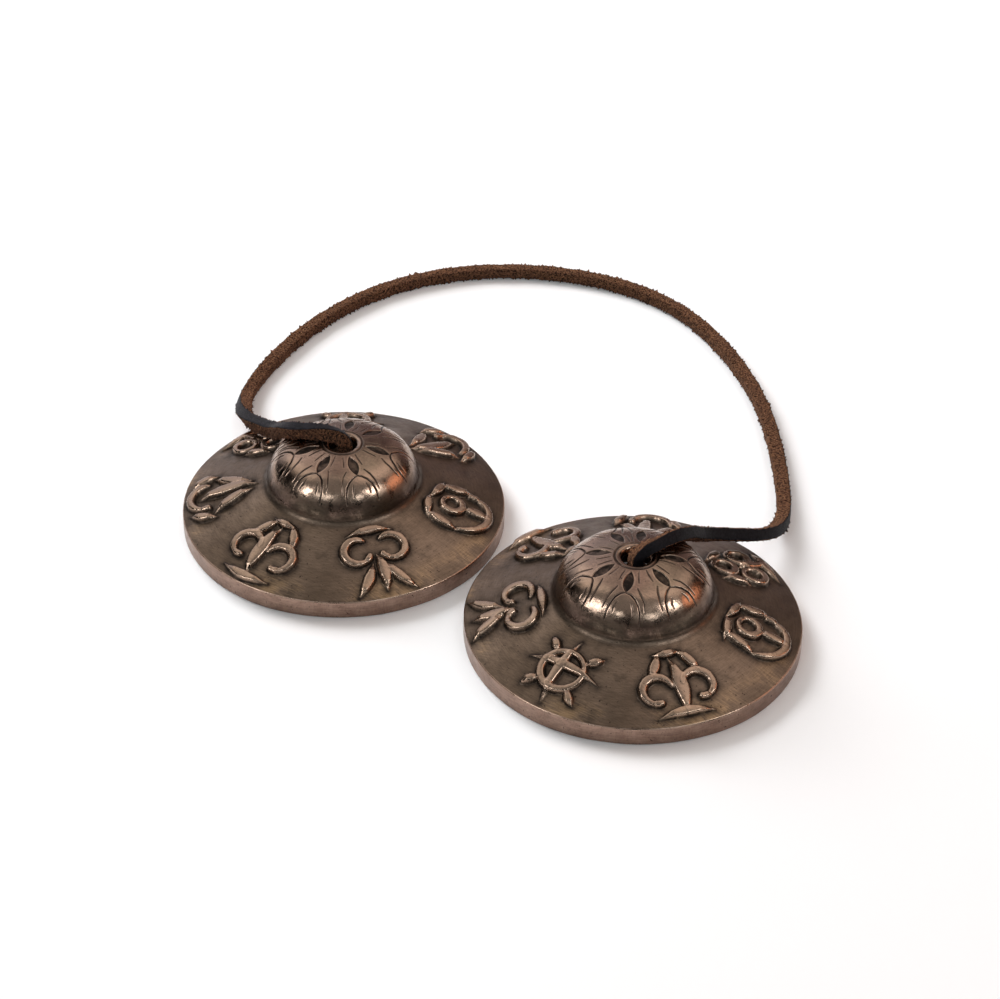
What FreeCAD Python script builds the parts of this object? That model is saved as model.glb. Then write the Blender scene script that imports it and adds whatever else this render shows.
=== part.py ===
"""A pair of finger cymbals (tingsha) joined by one leather thong.

The pair lies on a table: both cymbals rest on their rims, and the thong runs from the knot
inside the left dome, out through its hole, round a loop on the table behind, and back into
the right dome. Millimetres. The origin is on the table, midway between the cymbals: +X goes
from the left cymbal to the right one, +Y towards the loop, +Z up.
"""

import FreeCAD, Part

import math
import os

import Sketcher

V = FreeCAD.Vector

# ---------------------------------------------------------------- driving sizes

SIZES = [
    ("cymbal_radius", 32.5, "outside of the rim"),
    ("cymbal_gap", 2.4, "between the two rims where they stand nearest"),
    ("rim_height", 3.9, "upright edge of the rim"),
    ("rim_land", 3.0, "width of the flat ring that the cymbal stands on"),
    ("rim_rounding", 0.35, "worn upper and lower edges of the rim"),
    ("flange_rise", 6.05, "from the rim's upper edge to the dome's foot"),
    ("flange_wall", 3.0, "metal of the flange, square to its face"),
    ("dome_radius", 15.3, "at the dome's foot"),
    ("dome_rise", 9.05, "from the dome's foot to its crown, as if it had no hole"),
    ("shoulder_share", 0.86, "radius of the dome's round shoulder, as a share of its rise"),
    ("dome_wall", 3.0, "metal of the dome"),
    ("dome_foot_fillet", 1.8, "hollow corner between flange and dome"),
    ("hole_radius", 2.6, "hole for the thong"),
    ("hole_bevel", 1.1, "width and depth of the bevel round the hole"),
    ("relief_height", 1.0, "half the thickness of an ornament's stroke"),
    ("relief_sink", 0.12, "how far a stroke's middle lies under the flange's face"),
    ("relief_off_foot", 1.6, "between the dome's foot and the band of ornaments"),
    ("relief_off_rim", 1.0, "between the band of ornaments and the rim"),
    ("thong_width", 3.4, "square lace, and the diameter of its plain solids"),
    ("knot_radius", 4.7, "round form of the overhand knot"),
    ("knot_play", 0.3, "between the knot and the lower edge of the hole"),
    ("tail_length", 9.4, "from the middle of the knot to the cut end of the lace"),
    ("tail_drop", 2.9, "height of the tail's centre line below the knot's middle"),
    ("bend_height", 1.2, "centre of the thong's bend above the crown"),
    ("bend_offset", 0.6, "centre of the thong's bend out from the hole's axis"),
    ("bend_play", 0.2, "between the stub in the hole and the bend's ball"),
    ("loop_play", 0.1, "between the two halves of the thong at their flexing point"),
]

doc = FreeCAD.newDocument("tingsha")
sheet = doc.addObject("Spreadsheet::Sheet", "sizes")
for line, (alias, value, meaning) in enumerate(SIZES, start=1):
    sheet.set(f"A{line}", meaning)
    sheet.set(f"B{line}", str(value))
    sheet.setAlias(f"B{line}", alias)
doc.recompute()


def size(alias):
    """A driving size, read back from the sheet."""
    return float(getattr(sheet, alias))


# Sizes that follow from the driving ones. The same rules stand in the expressions below.
FLANGE_RUN = size("cymbal_radius") - size("dome_radius")
SLOPE = math.atan2(size("flange_rise"), FLANGE_RUN)
CROWN = size("rim_height") + size("flange_rise") + size("dome_rise")
SHOULDER = size("shoulder_share") * size("dome_rise")
SHOULDER_OUT = size("dome_radius") - SHOULDER
BALL = (SHOULDER_OUT**2 + size("dome_rise") ** 2 - SHOULDER**2) / (
    2 * (size("dome_rise") - SHOULDER)
)
BALL_CENTRE = CROWN - BALL
HALF = size("cymbal_radius") + size("cymbal_gap") / 2

SHOULDER_RULE = "(sizes.shoulder_share * sizes.dome_rise)"
SHOULDER_OUT_RULE = f"(sizes.dome_radius - {SHOULDER_RULE})"
BALL_RULE = (
    f"({SHOULDER_OUT_RULE} * {SHOULDER_OUT_RULE} + sizes.dome_rise * sizes.dome_rise"
    f" - {SHOULDER_RULE} * {SHOULDER_RULE}) / (2 * (sizes.dome_rise - {SHOULDER_RULE}))"
)
CROWN_RULE = "(sizes.rim_height + sizes.flange_rise + sizes.dome_rise)"
SLOPE_RULE = "(sizes.flange_rise / (sizes.cymbal_radius - sizes.dome_radius))"
HALF_RULE = "(sizes.cymbal_radius + sizes.cymbal_gap / 2)"


def flange_height(radius):
    """Height of the flange's upper face at a distance from the hole's axis."""
    return size("rim_height") + (size("cymbal_radius") - radius) * math.tan(SLOPE)


# ---------------------------------------------------------------- the bell of a cymbal


def origin_plane(body, role):
    return next(f for f in body.Origin.OriginFeatures if f.Role == role)


def circle_edges(shape, radius, height):
    """Names of the edges that are level circles of this radius at this height."""
    return [
        f"Edge{i}"
        for i, edge in enumerate(shape.Edges, start=1)
        if isinstance(edge.Curve, Part.Circle)
        and abs(edge.Curve.Radius - radius) < 1e-3
        and abs(edge.Curve.Center.z - height) < 1e-3
    ]


def make_bell(name):
    """The turned form of a cymbal: rim, conical flange and domed middle with its hole. The
    dome is a flat ball cap over a round shoulder that stands upright on the flange."""
    body = doc.addObject("PartDesign::Body", name)
    sketch = body.newObject("Sketcher::SketchObject", name + "_section")
    sketch.AttachmentSupport = (origin_plane(body, "XZ_Plane"), [""])
    sketch.MapMode = "FlatFace"

    rim, land = size("cymbal_radius"), size("cymbal_radius") - size("rim_land")
    foot, hole = size("dome_radius"), size("hole_radius")
    bevel = hole + size("hole_bevel")
    bore_top = BALL_CENTRE + math.sqrt(BALL**2 - bevel**2) - size("hole_bevel")
    inner = BALL - size("dome_wall")
    inner_land = land - size("rim_land") / 2
    wall_rise = size("flange_wall") / math.cos(SLOPE)

    def level(radius, ball):
        return BALL_CENTRE + math.sqrt(ball**2 - radius**2)

    foot_height = size("rim_height") + size("flange_rise")
    shoulder_turn = math.atan2(SHOULDER_OUT, BALL - size("dome_rise"))

    def shoulder_top(ball):
        """Where the shoulder runs into the cap of this ball."""
        return V(ball * math.sin(shoulder_turn), BALL_CENTRE + ball * math.cos(shoulder_turn), 0)

    inner_foot = foot - 1.15 * size("dome_wall")
    corners = {
        "bevel_low": V(hole, bore_top, 0),
        "bevel_high": V(bevel, level(bevel, BALL), 0),
        "shoulder_high": shoulder_top(BALL),
        "foot": V(foot, foot_height, 0),
        "rim_high": V(rim, size("rim_height"), 0),
        "rim_low": V(rim, 0, 0),
        "land": V(land, 0, 0),
        "hollow": V(inner_land, flange_height(inner_land) - wall_rise, 0),
        "inner_foot": V(inner_foot, flange_height(inner_foot) - wall_rise, 0),
        "inner_high": shoulder_top(inner),
        "bore_low": V(hole, level(hole, inner), 0),
    }

    def line(a, b):
        return sketch.addGeometry(Part.LineSegment(corners[a], corners[b]), False)

    def arc(a, b, centre, radius):
        start = math.atan2(corners[a].y - centre.y, corners[a].x - centre.x)
        end = math.atan2(corners[b].y - centre.y, corners[b].x - centre.x)
        circle = Part.Circle(centre, V(0, 0, 1), radius)
        return sketch.addGeometry(Part.ArcOfCircle(circle, start, end), False)

    ball_centre = V(0, BALL_CENTRE, 0)
    shoulder_centre = V(SHOULDER_OUT, foot_height, 0)

    chamfer = line("bevel_low", "bevel_high")
    cap = arc("shoulder_high", "bevel_high", ball_centre, BALL)
    shoulder = arc("foot", "shoulder_high", shoulder_centre, SHOULDER)
    flange = line("foot", "rim_high")
    rim_face = line("rim_high", "rim_low")
    ring = line("rim_low", "land")
    lip = line("land", "hollow")
    under = line("hollow", "inner_foot")
    inner_shoulder = arc(
        "inner_foot", "inner_high", shoulder_centre, SHOULDER - size("dome_wall")
    )
    inner_cap = arc("inner_high", "bore_low", ball_centre, inner)
    bore = line("bore_low", "bevel_low")

    START, END, CENTRE = 1, 2, 3
    joins = [
        (chamfer, END, cap, END),
        (shoulder, START, flange, START),
        (flange, END, rim_face, START),
        (rim_face, END, ring, START),
        (ring, END, lip, START),
        (lip, END, under, START),
        (under, END, inner_shoulder, START),
        (inner_cap, END, bore, START),
        (bore, END, chamfer, START),
    ]
    for first, first_end, second, second_end in joins:
        sketch.addConstraint(
            Sketcher.Constraint("Coincident", first, first_end, second, second_end)
        )
    for lower, upper in ((shoulder, cap), (inner_shoulder, inner_cap)):
        sketch.addConstraint(Sketcher.Constraint("Tangent", lower, END, upper, START))
    for geometry in (rim_face, bore):
        sketch.addConstraint(Sketcher.Constraint("Vertical", geometry))
    sketch.addConstraint(Sketcher.Constraint("Parallel", flange, under))

    def dimension(label, kind, geometry, point, value, rule):
        """A distance from the sketch's origin, bound to the sheet."""
        index = sketch.addConstraint(
            Sketcher.Constraint(kind, -1, 1, geometry, point, value)
        )
        sketch.renameConstraint(index, label)
        sketch.setExpression("Constraints." + label, rule)

    across, up = "DistanceX", "DistanceY"
    for label, geometry in (("cap_centre", cap), ("inner_cap_centre", inner_cap)):
        sketch.addConstraint(Sketcher.Constraint("PointOnObject", geometry, CENTRE, -2))
        dimension(label, up, geometry, CENTRE, BALL_CENTRE, f"{CROWN_RULE} - {BALL_RULE}")
    for label, geometry in (("shoulder", shoulder), ("inner_shoulder", inner_shoulder)):
        dimension(label + "_out", across, geometry, CENTRE, SHOULDER_OUT, SHOULDER_OUT_RULE)
        dimension(
            label + "_up", up, geometry, CENTRE, foot_height,
            "sizes.rim_height + sizes.flange_rise",
        )
    dimension("foot_radius", across, flange, START, foot, "sizes.dome_radius")
    dimension(
        "foot_height", up, flange, START, foot_height,
        "sizes.rim_height + sizes.flange_rise",
    )
    dimension("rim_radius", across, rim_face, START, rim, "sizes.cymbal_radius")
    dimension("rim_upper_edge", up, rim_face, START, corners["rim_high"].y, "sizes.rim_height")
    sketch.addConstraint(Sketcher.Constraint("PointOnObject", ring, START, -1))
    sketch.addConstraint(Sketcher.Constraint("PointOnObject", ring, END, -1))
    dimension("land_radius", across, ring, END, land, "sizes.cymbal_radius - sizes.rim_land")
    dimension(
        "hollow_radius", across, under, START, inner_land,
        "sizes.cymbal_radius - 1.5 * sizes.rim_land",
    )
    dimension(
        "hollow_height", up, under, START, corners["hollow"].y,
        f"sizes.rim_height + 1.5 * sizes.rim_land * {SLOPE_RULE}"
        f" - sizes.flange_wall * sqrt(1 + {SLOPE_RULE} * {SLOPE_RULE})",
    )
    dimension("bore_radius", across, bore, START, hole, "sizes.hole_radius")
    dimension(
        "bevel_radius", across, chamfer, END, bevel, "sizes.hole_radius + sizes.hole_bevel"
    )
    slant = sketch.addConstraint(
        Sketcher.Constraint("DistanceY", chamfer, START, chamfer, END, size("hole_bevel"))
    )
    sketch.renameConstraint(slant, "bevel_depth")
    sketch.setExpression("Constraints.bevel_depth", "sizes.hole_bevel")
    wall = sketch.addConstraint(
        Sketcher.Constraint("Radius", inner_shoulder, SHOULDER - size("dome_wall"))
    )
    sketch.renameConstraint(wall, "inner_shoulder_radius")
    sketch.setExpression(
        "Constraints.inner_shoulder_radius", f"{SHOULDER_RULE} - sizes.dome_wall"
    )

    turned = body.newObject("PartDesign::Revolution", name + "_turned")
    turned.Profile = sketch
    turned.ReferenceAxis = (sketch, ["V_Axis"])
    turned.Angle = 360
    sketch.Visibility = False
    doc.recompute()

    foot_corner = circle_edges(turned.Shape, foot, foot_height)
    cove = body.newObject("PartDesign::Fillet", name + "_cove")
    cove.Base = (turned, foot_corner)
    cove.setExpression("Radius", "sizes.dome_foot_fillet")
    doc.recompute()

    rim_edges = circle_edges(cove.Shape, rim, size("rim_height"))
    rim_edges += circle_edges(cove.Shape, rim, 0)
    worn = body.newObject("PartDesign::Fillet", name + "_worn_rim")
    worn.Base = (cove, rim_edges)
    worn.setExpression("Radius", "sizes.rim_rounding")
    body.Tip = worn
    return body


# ---------------------------------------------------------------- cast ornaments

RELIEF_INNER = size("dome_radius") + size("relief_off_foot")
RELIEF_OUTER = size("cymbal_radius") - size("relief_off_rim")
RELIEF_MIDDLE = (RELIEF_INNER + RELIEF_OUTER) / 2
RELIEF_BAND = (RELIEF_OUTER - RELIEF_INNER) / math.cos(SLOPE)
DRAWN_BAND = 14.6
RELIEF_SCALE = RELIEF_BAND / DRAWN_BAND

# Each ornament is drawn in its own small frame for a band DRAWN_BAND wide: u runs round the
# cymbal, v runs outward, and both halves are alike. It is scaled to the band that the flange
# has, and its strokes stand nearly half out of the metal.
#   ring  u, v, radius                      a closed round stroke
#   hook  u, v, radius, start, sweep        part of one, angles in degrees from u towards v
#   leaf  u, v, length, width, direction    a pointed bud, direction in degrees from u


def pair(kind, u, v, *form):
    """A stroke and its mirror image across the ornament's middle."""
    if kind == "leaf":
        length, width, direction = form
        other = (length, width, 180 - direction)
    elif kind == "hook":
        radius, start, sweep = form
        other = (radius, 180 - start - sweep, sweep)
    else:
        other = form
    return [(kind, u, v, *form), (kind, -u, v, *other)]


BUD = [
    ("leaf", 0.0, 0.6, 11.6, 2.9, 90),
    ("leaf", 0.0, 6.2, 10.4, 2.1, 0),
    ("leaf", 0.0, -6.4, 5.4, 1.7, 0),
    *pair("hook", 3.7, 0.9, 2.8, -170, 260),
    *pair("leaf", 3.2, -4.0, 6.2, 2.0, 58),
]
SCROLLS = [
    ("leaf", 0.0, 2.6, 8.2, 2.4, 90),
    ("leaf", 0.0, -6.2, 9.0, 1.9, 0),
    *pair("hook", 3.1, -2.4, 2.7, -125, 270),
    *pair("leaf", 3.3, 3.7, 8.2, 2.2, 56),
]
WHEEL = [
    ("ring", 0.0, 0.0, 3.9),
    ("leaf", 0.0, 0.3, 13.8, 2.1, 90),
    ("leaf", 0.0, -0.3, 14.2, 2.0, 0),
    *pair("leaf", 4.1, 4.1, 3.8, 1.8, 45),
    *pair("leaf", 4.1, -4.1, 3.8, 1.8, -45),
]
JEWEL = [
    ("hook", 0.0, 0.6, 5.4, 5, 170),
    ("ring", 0.0, -1.6, 2.0),
    ("leaf", 0.0, 3.2, 5.8, 2.2, 90),
    *pair("leaf", 4.9, -2.2, 7.4, 2.1, 76),
    *pair("leaf", 2.6, -5.5, 6.2, 1.9, 14),
]
TREFOIL = [
    ("ring", 0.0, -3.9, 2.1),
    *pair("ring", 3.0, 1.2, 2.1),
    ("leaf", 0.0, 3.1, 7.2, 2.2, 90),
    ("leaf", 0.0, 6.2, 10.4, 2.0, 0),
    *pair("leaf", 4.3, -3.6, 5.8, 2.0, 62),
]
SPRAY = [
    ("leaf", 0.0, -1.0, 12.0, 2.7, 90),
    ("hook", 0.0, 2.6, 4.0, 5, 170),
    *pair("leaf", 3.3, -2.2, 9.0, 2.2, 62),
    *pair("leaf", 5.2, 3.8, 6.0, 2.0, 112),
]

# Where each ornament's middle stands, in degrees round the hole from +X. They are hand set on
# the real casting, so their spacing is a little uneven.
ORNAMENTS = {
    "left": [
        (-94, BUD), (-39, SCROLLS), (18, JEWEL), (73, SPRAY),
        (123, WHEEL), (169, TREFOIL), (-144, SPRAY),
    ],
    "right": [
        (-143, SCROLLS), (-93, WHEEL), (-41, BUD), (13, JEWEL),
        (61, TREFOIL), (113, SPRAY), (162, BUD),
    ],
}


def on_flange(around, u, v):
    """A frame on the flange's face: x round the cymbal, y outward, z out of the metal."""
    outward = V(math.cos(math.radians(around)), math.sin(math.radians(around)), 0)
    round_it = V(-outward.y, outward.x, 0)
    down = outward * math.cos(SLOPE) - V(0, 0, math.sin(SLOPE))
    normal = round_it.cross(down) * -1
    middle = outward * RELIEF_MIDDLE + V(0, 0, flange_height(RELIEF_MIDDLE))
    frame = FreeCAD.Rotation(round_it * -1, down, normal, "ZYX")
    sunk = normal * size("relief_sink")
    return FreeCAD.Placement(middle - round_it * u + down * v - sunk, frame)


def make_stroke(name, around, stroke):
    kind = stroke[0]
    u, v = stroke[1] * RELIEF_SCALE, stroke[2] * RELIEF_SCALE
    turn = 0
    if kind == "leaf":
        length, width, turn = stroke[3:]
        solid = doc.addObject("Part::Ellipsoid", name)
        solid.Angle1, solid.Angle2, solid.Angle3 = -90, 90, 360
        solid.setExpression("Radius1", "sizes.relief_height")
        solid.Radius2 = RELIEF_SCALE * length / 2
        solid.Radius3 = RELIEF_SCALE * width / 2
    else:
        solid = doc.addObject("Part::Torus", name)
        solid.Radius1 = RELIEF_SCALE * stroke[3]
        solid.setExpression("Radius2", "sizes.relief_height * 0.9")
        if kind == "hook":
            turn, solid.Angle3 = stroke[4:]
    spin = FreeCAD.Placement(V(0, 0, 0), FreeCAD.Rotation(V(0, 0, 1), turn))
    solid.Placement = on_flange(around, u, v).multiply(spin)
    return solid


def make_cymbal(side, sign):
    """A whole cymbal: the bell with its ornaments, one casting."""
    bell = make_bell(f"bell_{side}")
    strokes = []
    for around, ornament in ORNAMENTS[side]:
        for stroke in ornament:
            name = f"ornament_{side}_{len(strokes)}"
            strokes.append(make_stroke(name, around, stroke))
    cymbal = doc.addObject("Part::MultiFuse", f"cymbal_{side}")
    cymbal.Shapes = [bell, *strokes]
    cymbal.setExpression("Placement.Base.x", f"{sign} * {HALF_RULE}")
    return cymbal


# ---------------------------------------------------------------- knots inside the domes

UNDER_CROWN = size("hole_radius")
INNER_BALL = BALL - size("dome_wall")
HOLE_LOWER_EDGE = BALL_CENTRE + math.sqrt(INNER_BALL**2 - UNDER_CROWN**2)
KNOT_REACH = math.sqrt(size("knot_radius") ** 2 - UNDER_CROWN**2)
KNOT_MIDDLE = HOLE_LOWER_EDGE - KNOT_REACH - size("knot_play")
BEND_MIDDLE = CROWN + size("bend_height")
SEAM_TURN = 70  # turns the knot's own seam away from the tail and the stub


def make_knot(side, sign, tail_direction):
    """The overhand knot that stops the thong, the stub of lace up through the hole, and the
    cut tail."""
    ball = doc.addObject("Part::Sphere", f"knot_ball_{side}")
    ball.setExpression("Radius", "sizes.knot_radius")
    seam_away = FreeCAD.Rotation(V(0, 0, 1), SEAM_TURN)
    ball.Placement = FreeCAD.Placement(V(0, 0, KNOT_MIDDLE), seam_away)

    stub = doc.addObject("Part::Cylinder", f"knot_stub_{side}")
    stub.setExpression("Radius", "sizes.thong_width / 2")
    stub_top = BEND_MIDDLE - size("thong_width") / 2 - size("bend_play")
    stub.Height = stub_top - KNOT_MIDDLE
    stub.Placement.Base = V(0, 0, KNOT_MIDDLE)

    tail = doc.addObject("Part::Cylinder", f"knot_tail_{side}")
    tail.setExpression("Radius", "sizes.thong_width / 2")
    tail.setExpression("Height", "sizes.tail_length")
    level = FreeCAD.Rotation(V(0, 0, 1), V(*tail_direction, 0))
    tail.Placement = FreeCAD.Placement(V(0, 0, KNOT_MIDDLE - size("tail_drop")), level)

    knot = doc.addObject("Part::MultiFuse", f"knot_{side}")
    knot.Shapes = [ball, stub, tail]
    knot.setExpression("Placement.Base.x", f"{sign} * {HALF_RULE}")
    return knot


# ---------------------------------------------------------------- the thong's route

LEFT_HOLE = V(-HALF, 0, 0)
RIGHT_HOLE = V(HALF, 0, 0)
BEND_RISE = V(0, 0, BEND_MIDDLE)
LEFT_RUN = V(-1, 0, 0)
RIGHT_RUN = V(0.53, 0.848, 0)
LOOP_BEND = V(-24.0, 106.6, 1.8)

# Each list is measured from the foot of its own hole's axis. This one goes from the bend over
# the left hole, down the dome's shoulder, across the flange, down to the table and round to
# the back of the loop.
LEFT_COURSE = [
    BEND_RISE + LEFT_RUN * size("bend_offset"),
    V(-4.5, -0.6, 21.0),
    V(-8.9, -1.4, 20.0),
    V(-12.3, -0.9, 18.7),
    V(-15.3, 0.6, 16.2),
    V(-18.5, 3.2, 12.9),
    V(-23.5, 5.6, 10.5),
    V(-28.1, 8.2, 8.6),
    V(-32.6, 11.6, 6.6),
    V(-36.6, 15.8, 4.4),
    V(-40.1, 20.6, 2.6),
    V(-42.9, 26.6, 1.8),
    V(-44.9, 35.0, 1.8),
    V(-46.0, 46.5, 1.8),
    V(-45.5, 59.5, 1.8),
    V(-42.3, 72.5, 1.8),
    V(-36.0, 84.2, 1.8),
    V(-26.8, 93.8, 1.8),
    V(-15.8, 101.0, 1.8),
    V(-3.3, 105.5, 1.8),
]
# From the bend over the right hole, back round to the same place.
RIGHT_COURSE = [
    BEND_RISE + RIGHT_RUN * size("bend_offset"),
    V(2.5, 4.0, 21.0),
    V(3.7, 8.1, 20.0),
    V(3.9, 11.6, 18.7),
    V(3.4, 15.0, 16.1),
    V(3.6, 19.6, 12.9),
    V(5.3, 24.2, 10.7),
    V(7.8, 28.8, 8.7),
    V(10.2, 33.7, 6.6),
    V(10.8, 39.4, 4.4),
    V(9.0, 46.6, 2.6),
    V(4.3, 55.6, 1.8),
    V(-3.0, 66.8, 1.8),
    V(-11.5, 78.2, 1.8),
    V(-21.5, 88.4, 1.8),
    V(-32.7, 97.0, 1.8),
    V(-44.7, 103.6, 1.8),
]
LEFT_ROUTE = [*(LEFT_HOLE + point for point in LEFT_COURSE), LOOP_BEND]
RIGHT_ROUTE = [*(RIGHT_HOLE + point for point in RIGHT_COURSE), LOOP_BEND]
ARC_SHARE = 0.45


def rounded_path(points):
    """Straight runs joined by tangent arcs, each as large as its two runs allow."""
    edges, radii = [], []
    start = points[0]
    for before, corner, after in zip(points, points[1:], points[2:]):
        arriving, leaving = corner - before, after - corner
        half_turn = arriving.getAngle(leaving) / 2
        setback = ARC_SHARE * min(arriving.Length, leaving.Length)
        radii.append(setback / math.tan(half_turn))
        into = corner - arriving.normalize() * setback
        out = corner + leaving.normalize() * setback
        inward = (leaving - arriving).normalize()
        bulge = radii[-1] * (1 / math.cos(half_turn) - 1)
        edges.append(Part.LineSegment(start, into).toShape())
        edges.append(Part.Arc(into, corner + inward * bulge, out).toShape())
        start = out
    edges.append(Part.LineSegment(start, points[-1]).toShape())
    return Part.Wire(edges), radii


def make_thong(side, points, far_gap, far_ball):
    """One half of the thong, a plain round tube with a ball at the bend over the hole."""
    away = (points[-2] - points[-1]).normalize()
    ends = [*points[:-1], points[-1] + away * far_gap]
    wire, radii = rounded_path(ends)
    spine = doc.addObject("Part::Feature", f"thong_line_{side}")
    spine.Shape = wire
    section = doc.addObject("Part::Circle", f"thong_section_{side}")
    section.setExpression("Radius", "sizes.thong_width / 2")
    facing = FreeCAD.Rotation(V(0, 0, 1), points[1] - points[0])
    section.Placement = FreeCAD.Placement(points[0], facing)
    tube = doc.addObject("Part::Sweep", f"thong_tube_{side}")
    tube.Sections = [section]
    tube.Spine = (spine, [f"Edge{i + 1}" for i in range(len(wire.Edges))])
    tube.Solid = True
    tube.Frenet = False
    balls = [points[0]] + ([points[-1]] if far_ball else [])
    solids = [tube]
    for number, middle in enumerate(balls):
        ball = doc.addObject("Part::Sphere", f"thong_ball_{side}_{number}")
        ball.setExpression("Radius", "sizes.thong_width / 2")
        ball.Placement.Base = middle
        solids.append(ball)
    thong = doc.addObject("Part::MultiFuse", f"thong_{side}")
    thong.Shapes = solids
    doc.recompute()
    length = wire.Length
    filled = math.pi * (size("thong_width") / 2) ** 2 * length
    print(
        f"thong_{side}: {length:.1f} mm, bend radii",
        " ".join(f"{radius:.0f}" for radius in radii),
        f"tube {tube.Shape.Volume:.1f} mm3, section times length {filled:.1f} mm3",
    )
    if abs(tube.Shape.Volume / filled - 1) > 0.02:
        raise RuntimeError(f"thong_{side}: the tube's volume is not its section times length")
    return thong


# ---------------------------------------------------------------- the whole pair

nodes = [
    make_cymbal("left", -1),
    make_cymbal("right", 1),
    make_knot("left", -1, (0.35, -0.94)),
    make_knot("right", 1, (-0.6, -0.8)),
    make_thong("left", LEFT_ROUTE, 0, True),
    make_thong("right", RIGHT_ROUTE, size("thong_width") / 2 + size("loop_play"), False),
]
for node in nodes:
    node.Label = node.Name
doc.recompute()

for thing in doc.Objects:
    if "Invalid" in thing.State or "Error" in thing.State:
        raise RuntimeError(f"{thing.Name} did not build: {thing.State}")
for node in nodes:
    if node.Shape.isNull() or not node.Shape.isValid() or len(node.Shape.Solids) != 1:
        raise RuntimeError(f"{node.Label} is not one valid solid")

os.makedirs("parts", exist_ok=True)
for node in nodes:
    node.Shape.exportStep(f"parts/{node.Label}.step")
    print(f"{node.Label}: {node.Shape.Volume:.0f} mm3, {len(node.Shape.Faces)} faces")
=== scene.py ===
"""Looks of a pair of tingsha: two antique bronze finger cymbals on one square leather lace.

Metres, +Z up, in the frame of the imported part. Each cymbal is a turned bell whose cast ornaments
and engraved lotus are heights on its own skin. The lace is one smooth line, dressed in three
lengths, and its two knotted ends hang inside the domes.
"""

import math

import bpy
import numpy as np
from mathutils import Matrix, Vector, noise


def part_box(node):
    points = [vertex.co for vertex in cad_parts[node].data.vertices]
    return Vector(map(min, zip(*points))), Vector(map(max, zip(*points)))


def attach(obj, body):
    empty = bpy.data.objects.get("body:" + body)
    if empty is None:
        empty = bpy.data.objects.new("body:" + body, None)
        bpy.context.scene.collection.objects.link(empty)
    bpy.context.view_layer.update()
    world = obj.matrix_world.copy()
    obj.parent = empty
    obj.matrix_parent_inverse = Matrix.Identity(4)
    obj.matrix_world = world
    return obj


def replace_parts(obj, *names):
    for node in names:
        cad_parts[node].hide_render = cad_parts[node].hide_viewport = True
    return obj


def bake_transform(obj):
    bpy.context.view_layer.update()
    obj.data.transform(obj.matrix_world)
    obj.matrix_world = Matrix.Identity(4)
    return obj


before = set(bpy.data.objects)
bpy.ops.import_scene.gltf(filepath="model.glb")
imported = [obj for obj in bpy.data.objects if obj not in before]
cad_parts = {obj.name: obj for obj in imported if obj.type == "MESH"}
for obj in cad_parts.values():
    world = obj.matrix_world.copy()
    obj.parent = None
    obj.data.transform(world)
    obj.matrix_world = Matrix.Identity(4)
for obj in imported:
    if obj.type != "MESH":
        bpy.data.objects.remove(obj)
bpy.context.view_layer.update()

MM = 0.001
UP = Vector((0, 0, 1))
bpy.context.scene.view_settings.view_transform = "Standard"


def add_object(name, data):
    piece = bpy.data.objects.new(name, data)
    bpy.context.scene.collection.objects.link(piece)
    return piece


def way_to(azimuth, elevation):
    """A direction from its azimuth from +X and its elevation, in degrees."""
    turn, rise = math.radians(azimuth), math.radians(elevation)
    flat = math.cos(rise)
    return Vector((math.cos(turn) * flat, math.sin(turn) * flat, math.sin(rise)))


# ---- camera

VIEW_AZIMUTH, VIEW_ELEVATION = -58.4, 36.45  # degrees
VIEW_ROLL = 0.0166
VIEW_DISTANCE = 0.5423
VIEW_TARGET = Vector((-0.01054, 0.02266, 0.0))
VIEW_LENS = 94.92
SENSOR_WIDTH = 36.0


def make_camera():
    away, right = way_to(VIEW_AZIMUTH, VIEW_ELEVATION), way_to(VIEW_AZIMUTH + 90, 0)
    up = away.cross(right)
    rolled_right = right * math.cos(VIEW_ROLL) + up * math.sin(VIEW_ROLL)
    rolled_up = up * math.cos(VIEW_ROLL) - right * math.sin(VIEW_ROLL)
    data = bpy.data.cameras.new("camera")
    data.lens, data.sensor_width, data.sensor_fit = VIEW_LENS, SENSOR_WIDTH, "HORIZONTAL"
    camera = add_object("camera", data)
    turn = Matrix((rolled_right, rolled_up, away)).transposed()
    camera.matrix_world = Matrix.Translation(VIEW_TARGET + away * VIEW_DISTANCE) @ turn.to_4x4()
    bpy.context.scene.camera = camera


make_camera()

# ---- shader nodes

# The Mix node's colour sockets share their names with others, so they are told by number.
MIX_COLOUR_A, MIX_COLOUR_B, MIX_COLOUR_OUT = 6, 7, 2


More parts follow.
